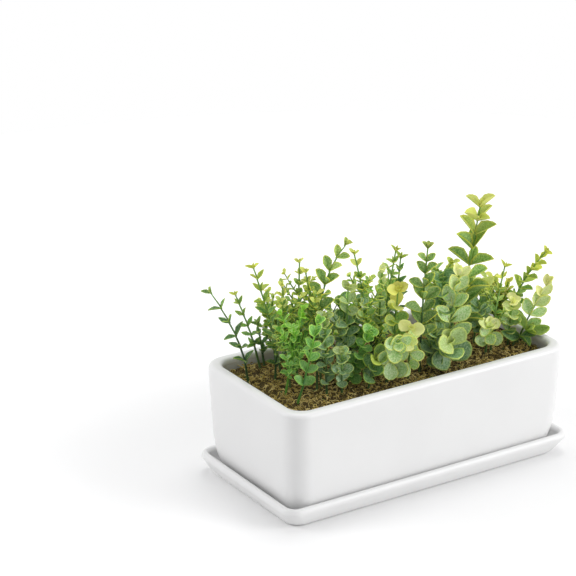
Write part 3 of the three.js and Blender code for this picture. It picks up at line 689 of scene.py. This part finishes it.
# stems: dark at the bed in painted shade, a lighter green at the tip
green_stem = stem_plastic("green_stem", (44, 74, 44), (124, 166, 78))
sprig_plastics = {
    "deep": (green_stem, leaf_plastic("deep_leaf", (60, 106, 50), (142, 176, 122),
                                      (172, 198, 80), (196, 210, 84))),
    "green": (green_stem, leaf_plastic("green_leaf", (80, 136, 54), (160, 190, 116),
                                       (196, 210, 74), (218, 224, 98))),
    "lime": (green_stem, leaf_plastic("lime_leaf", (92, 148, 50), (178, 204, 120),
                                      (212, 214, 72), (236, 234, 116))),
}
lance_leaf = mould_leaf("lance_leaf", 0.42, 0.5, 0.5, 0.03, 0.12, 0.06, 0.06)
fine_sprigs = {
    "fine_sprig_1": (0, -95, 54, -18, 34, 80, 1.8, 12, 13.5, 13, -63, -0.35, 0.4, "deep"),
    "fine_sprig_2": (1, -76, 88, -16, 16, 71, 1.3, 14, 11, 10, -50, 0.0, 0.4, "green"),
    "fine_sprig_3": (2, -72, 90, -5, 3, 42, 1.2, 6, 13, 9, 0, -0.3, 0.2, "deep"),
    "fine_sprig_4": (3, -68, 59, -18, 17, 101, 1.3, 22, 13, 11.5, -63, 0.1, 0.3, "green"),
}
twiggy_sprigs = {
    "fine_sprig_5": (8, -77, 42, 6, 3, 61, 1.4, 8, 11, 8, 0, -0.2, 0.2, "deep"),
    "fine_sprig_6": (19, -6, -6, 7, -10, 116, 1.6, 30, 10.5, 11, -63, -0.1, 0.2, "lime"),
    "fine_sprig_7": (20, 8, 8, 1, -8, 103, 1.5, 20, 12, 12, -50, -0.1, 0.2, "deep"),
    "fine_sprig_8": (35, 71, -50, 9, -6, 86, 1.5, 24, 10.5, 11, -63, 0.3, 0.4, "green"),
}
for name, row in fine_sprigs.items():
    grow_sprig(name, row, lance_leaf, 38, 0.72, more_leaves=0.5)
for name, row in twiggy_sprigs.items():
    grow_sprig(name, row, lance_leaf, 38, 0.72, more_leaves=0.5, twigs=3)

# Small sprigs: bushy stems of little spoon-shaped leaves, sprayed almost wholly yellow at
# their tips, and one of a bright green plastic. They are moulded and planted as the fine ones.
sprig_plastics["bright"] = (
    stem_plastic("bright_stem", (62, 112, 46), (142, 206, 66)),
    leaf_plastic("bright_leaf", (80, 150, 46), (156, 196, 118), (178, 222, 92), (150, 212, 52)))
spoon_leaf = mould_leaf("spoon_leaf", 0.58, 0.58, 0.2, 0.06, 0.08, 0.08, 0.06)
small_sprigs = {
    "small_sprig_1": (4, -62, 94, -4, 7, 68, 1.3, 14, 10, 8, 10, 0.0, 0.3, "lime"),
    "small_sprig_2": (5, -77, 2, -3, 8, 96, 1.2, 30, 9.5, 8, -60, 0.0, 0.3, "lime"),
    "small_sprig_3": (6, -66, 21, 2, -1, 115, 1.2, 30, 9.5, 10, -50, 0.0, 0.3, "lime"),
    "small_sprig_4": (7, -60, -24, -12, 8, 112, 1.5, 30, 9.5, 9, -70, -0.05, 0.3, "lime"),
    "bright_sprig_2": (11, -85, -14, 14, -6, 81, 1.2, 18, 11, 8, 20, 0.1, 0.3, "bright"),
    "small_sprig_5": (14, -22, -36, -15, 11, 121, 1.6, 34, 11, 12, -63, -0.05, 0.3, "lime"),
    "small_sprig_6": (40, 97, 14, 0, -18, 56, 1.2, 10, 11, 8, 0, 0.2, 0.3, "lime"),
}
for name, row in small_sprigs.items():
    grow_sprig(name, row, spoon_leaf, 42, 0.7, more_leaves=0.8, twigs=14)

# Oval sprigs: stouter stems of egg-shaped leaves, which fill the bed from end to end. They are
# moulded and planted as the fine ones. The one at the front of the left end has steep leaves.
sprig_plastics["grey"] = (green_stem, leaf_plastic("grey_leaf", (86, 134, 78), (180, 206, 162),
                                                   (194, 212, 108), (208, 218, 118)))
oval_leaf = mould_leaf("oval_leaf", 0.72, 0.5, 0.1, 0.08, 0.08, 0.08, 0.05)
oval_sprigs = {
    "oval_sprig_1": (9, -53, 84, 4, -3, 49, 1.3, 8, 14, 8, 35, -0.3, 0.2, "deep"),
    "grey_sprig_1": (12, -64, -52, 0, 4, 74, 1.0, 8, 13, 9, -40, -0.1, 0.4, "grey"),
    "grey_sprig_2": (15, -39, -19, 1, -1, 89, 1.3, 16, 15, 11, -50, 0.0, 0.4, "grey"),
    "oval_sprig_2": (18, -18, 34, -8, 5, 58, 1.3, 6, 17, 8, 15, -0.4, 0.2, "deep"),
    "olive_sprig_2": (22, -17, 12, 5, -3, 72, 1.3, 16, 12, 8, 70, 0.1, 0.4, "bright"),
    "olive_sprig_5": (32, 42, 4, 5, -14, 90, 1.3, 20, 14, 10, -30, -0.1, 0.4, "lime"),
    "grey_sprig_5": (34, 71, -8, 4, -6, 60, 1.3, 8, 19, 10, -20, 0.2, 0.4, "grey"),
    "grey_sprig_6": (42, -36, 52, -4, 2, 50, 1.3, 10, 15, 9, 55, -0.2, 0.2, "grey"),
    "oval_sprig_3": (43, 12, 46, 2, 4, 56, 1.3, 10, 15, 9, 25, -0.3, 0.2, "deep"),
    "oval_sprig_4": (45, 80, 46, 5, 4, 42, 1.3, 8, 15, 8, 15, 0.0, 0.2, "green"),
}
for name, row in oval_sprigs.items():
    grow_sprig(name, row, oval_leaf, 38, 0.7, more_leaves=0.5, twigs=4)
grow_sprig("bright_sprig_1", (10, -86, -50, 14, -9, 77, 0.85, 8, 13, 12, -55, -0.3, 0.1, "bright"),
           oval_leaf, 52, 0.8, crossing=40, more_leaves=0.3, twist=35)

# Olive sprigs: two long stems of spaced oval leaves, folded up in a V, that stand out of the
# mass, and a third at the right end that leans out with denser leaves. They are moulded and
# planted as the fine ones.
sprig_plastics["olive"] = (green_stem, leaf_plastic("olive_leaf", (90, 136, 52), (180, 202, 130),
                                                    (208, 208, 64), (222, 226, 126)))
olive_leaf = mould_leaf("olive_leaf", 0.58, 0.6, 0.15, 0.06, 0.18, 0.06, 0.05)
olive_sprigs = {
    "olive_sprig_1": (13, -64, -26, 21, -14, 140, 4.2, 20, 17, 12.5, -68, -0.15, 0.1, "olive"),
    "olive_sprig_3": (29, 10, -54, 2, -6, 123, 1.8, 24, 18, 12.5, -42, -0.35, 0.1, "olive"),
}
for name, row in olive_sprigs.items():
    grow_sprig(name, row, olive_leaf, 46, 0.45, crossing=22, more_leaves=0.2, twist=40)
grow_sprig("fine_sprig_9", (39, 96, -14, 19, -32, 92, 1.8, 12, 14, 7.5, -63, 0.35, 0.2, "green"),
           olive_leaf, 34, 0.55, crossing=75, more_leaves=0.6, twist=10)

# Coin sprigs: short stems of round, cupped leaves along the front, silvery with cream tips, and
# a taller one behind them with egg-shaped leaves. They are moulded and planted as the fine ones.
sprig_plastics["silver"] = (green_stem, leaf_plastic("silver_leaf", (142, 192, 104),
                                                     (218, 232, 184), (220, 228, 104),
                                                     (248, 250, 160)))
coin_leaf = mould_leaf("coin_leaf", 0.88, 0.54, 0.0, 0.14, 0.05, 0.08, 0.045)
coin_sprigs = {
    "grey_sprig_3": (16, -43, -35, 14, -15, 53, 1.2, 6, 12, 8, -50, -0.5, 0.4, "bright"),
    "grey_sprig_4": (17, -54, -58, -3, -4, 42, 1.2, 8, 12, 9, -30, -0.2, 0.4, "grey"),
    "coin_sprig_2": (23, -5, -32, 3, -2, 80, 1.3, 30, 15.5, 13, -20, 0.25, 0.7, "lime"),
    "coin_sprig_3": (24, -4, -69, -3, -7, 54, 1.3, 16, 16, 12, -50, 0.15, 1.3, "silver"),
    "coin_sprig_4": (25, -19, -60, 1, -14, 45, 1.3, 15, 19, 7.5, -20, -0.5, 1.5, "silver"),
    "coin_sprig_5": (26, -34, -62, 6, -2, 28, 1.2, 6, 17, 9, 35, -0.15, 0.6, "deep"),
    "coin_sprig_7": (28, 18, -48, 4, -4, 34, 1.2, 6, 19, 8, 20, -0.35, 0.4, "grey"),
    "olive_sprig_4": (30, 32, -44, 0, 2, 81, 1.2, 20, 18, 10, -20, -0.6, 0.4, "deep"),
    "coin_sprig_8": (36, 66, -52, 1, -3, 27, 1.2, 6, 17, 7, -20, -0.15, 0.6, "silver"),
    "coin_sprig_10": (38, 90, -38, 1, -4, 43, 1.2, 12, 13, 7, 70, 0.2, 0.3, "silver"),
    "grey_sprig_7": (44, 52, 40, 4, 4, 54, 1.2, 8, 16, 10, 60, -0.1, 0.4, "grey"),
}
for name, row in coin_sprigs.items():
    grow_sprig(name, row, coin_leaf, 28, 0.85, crossing=80, more_leaves=0.6)
grow_sprig("coin_sprig_6", (27, 30, -68, -2, -4, 27, 1.2, 4, 23, 8, 5, -0.15, 0.75, "grey"),
           coin_leaf, 33, 0.9, crossing=75, more_leaves=0.35)
grow_sprig("coin_sprig_1", (21, -14, -19, 3, -2, 98, 1.3, 24, 11.5, 7, 40, -0.1, 0.2, "silver"),
           oval_leaf, 44, 0.7, more_leaves=0.9)

# Silver sprigs: the palest stem, in front, and a low one that leans out over the right end.
# Their long, upright leaves climb the stem on both sides and show their faces. They are moulded
# and planted as the fine ones.
silver_leaf = mould_leaf("silver_leaf", 0.58, 0.56, 0.12, 0.07, 0.1, 0.02, 0.05)
silver_sprigs = {
    "silver_sprig": (33, 31, -44, 7, -14, 90, 0.85, 12, 25, 15, -48, -0.05, 0.1, "silver"),
    "small_sprig_7": (41, 98, -40, 16, -20, 60, 1.2, 10, 21, 12, -48, 0.25, 0.1, "silver"),
}
for name, row in silver_sprigs.items():
    grow_sprig(name, row, silver_leaf, 52, 0.55, crossing=30, more_leaves=0.25, twist=70)

# Paddle sprigs: the one tall stem, and a low one at the right end whose leaves lie out over the
# rim. Their large paddle-shaped leaves are folded along the midrib. They are moulded and planted
# as the fine ones.
paddle_leaf = mould_leaf("paddle_leaf", 0.46, 0.54, 0.2, 0.04, 0.26, 0.03, 0.04)
grow_sprig("tall_sprig", (31, 53, -24, 13, -9, 144.5, 1.5, 24, 25, 15, -58, 0.15, 0.1, "olive"),
           paddle_leaf, 34, 0.75, crossing=50, twist=25)
grow_sprig("coin_sprig_9", (37, 92, -46, 9, -8, 15, 1.2, 4, 24, 8, -33, -0.25, 0.0, "deep"),
           paddle_leaf, 4, 0.95, crossing=30, twist=50)

# Studio: a seamless pale table, broad soft lamps at the sides and above, and the camera where
# the photograph was taken from.
table_radius, table_drop = 1.1, 0.0002
# the table and the backdrop as they light the planter, and as they are seen
lit_white, seen_white = (0.84, 0.84, 0.84, 1), (0.98, 0.98, 0.98, 1)
lit_backdrop, seen_backdrop = (0.47, 0.47, 0.475, 1), (1, 1, 1, 1)


def seen_rays(tree):
    """A mask for what the camera sees of a material, also in the gloss of the glaze."""
    rays = add_node(tree, "LightPath")
    mask = rays.outputs["Is Camera Ray"]
    for kind in ("Is Glossy Ray", "Is Transmission Ray"):
        mask = reckon(tree, "MAXIMUM", mask, rays.outputs[kind])
    return mask


bm = bmesh.new()
bmesh.ops.create_circle(bm, segments=64, radius=table_radius, cap_ends=True,
                        matrix=Matrix.Translation((0, 0, -table_drop)))
table = finish_piece(bm, "table")
table_white, tree = start_finish("table_white", {"Roughness": 0.9, "Specular IOR Level": 0.0,
                                                 "Emission Color": (1, 1, 1, 1)})
shader = tree.nodes["Principled BSDF"]
seen = seen_rays(tree)
tree.links.new(blend_colours(tree, seen, lit_white, seen_white), shader.inputs["Base Color"])
# the table fades to the white of the backdrop well before its edge
place = add_node(tree, "TexCoord")
away = add_node(tree, "VectorMath", {0: place.outputs["Object"]}, operation="LENGTH")
fade = stretch(tree, away.outputs["Value"], 0, 0.3, from_low=0.12, from_high=0.6,
               curve="SMOOTHSTEP")
tree.links.new(reckon(tree, "MULTIPLY", fade, seen), shader.inputs["Emission Strength"])
table.data.materials.append(table_white)

world = bpy.data.worlds.new("studio")
bpy.context.scene.world = world
world.use_nodes = True
tree = world.node_tree
tree.links.new(blend_colours(tree, seen_rays(tree), lit_backdrop, seen_backdrop),
               tree.nodes["Background"].inputs["Color"])


def soft_lamp(name, place, aim, size, power):
    """A square soft lamp at a place, turned to what it lights."""
    lamp = bpy.data.lights.new(name, "AREA")
    lamp.size = size
    lamp.energy = power
    holder = bpy.data.objects.new(name, lamp)
    holder.location = place
    holder.rotation_euler = (Vector(aim) - Vector(place)).to_track_quat("-Z", "Y").to_euler()
    bpy.context.scene.collection.objects.link(holder)


soft_lamp("right_window", (1.75, -2.08, 1.1), (0, 0, 0.08), 1.6, 42)
soft_lamp("left_window", (-1.9, 1.1, 1.2), (0, 0, 0.08), 1.4, 20)
soft_lamp("top_softbox", (0.45, 0.3, 2.4), (0, 0, 0), 1.4, 17)

photo_camera = bpy.data.cameras.new("photo_camera")
photo_camera.lens = 151.483
photo_camera.sensor_width = 36
camera = bpy.data.objects.new("photo_camera", photo_camera)
camera.location = (-1.1899, -1.6680, 0.9736)
camera.rotation_euler = (math.radians(90 - 21.3555), 0, math.radians(-32.9778))
bpy.context.scene.collection.objects.link(camera)
bpy.context.scene.camera = camera
bpy.context.scene.view_settings.view_transform = "Standard"
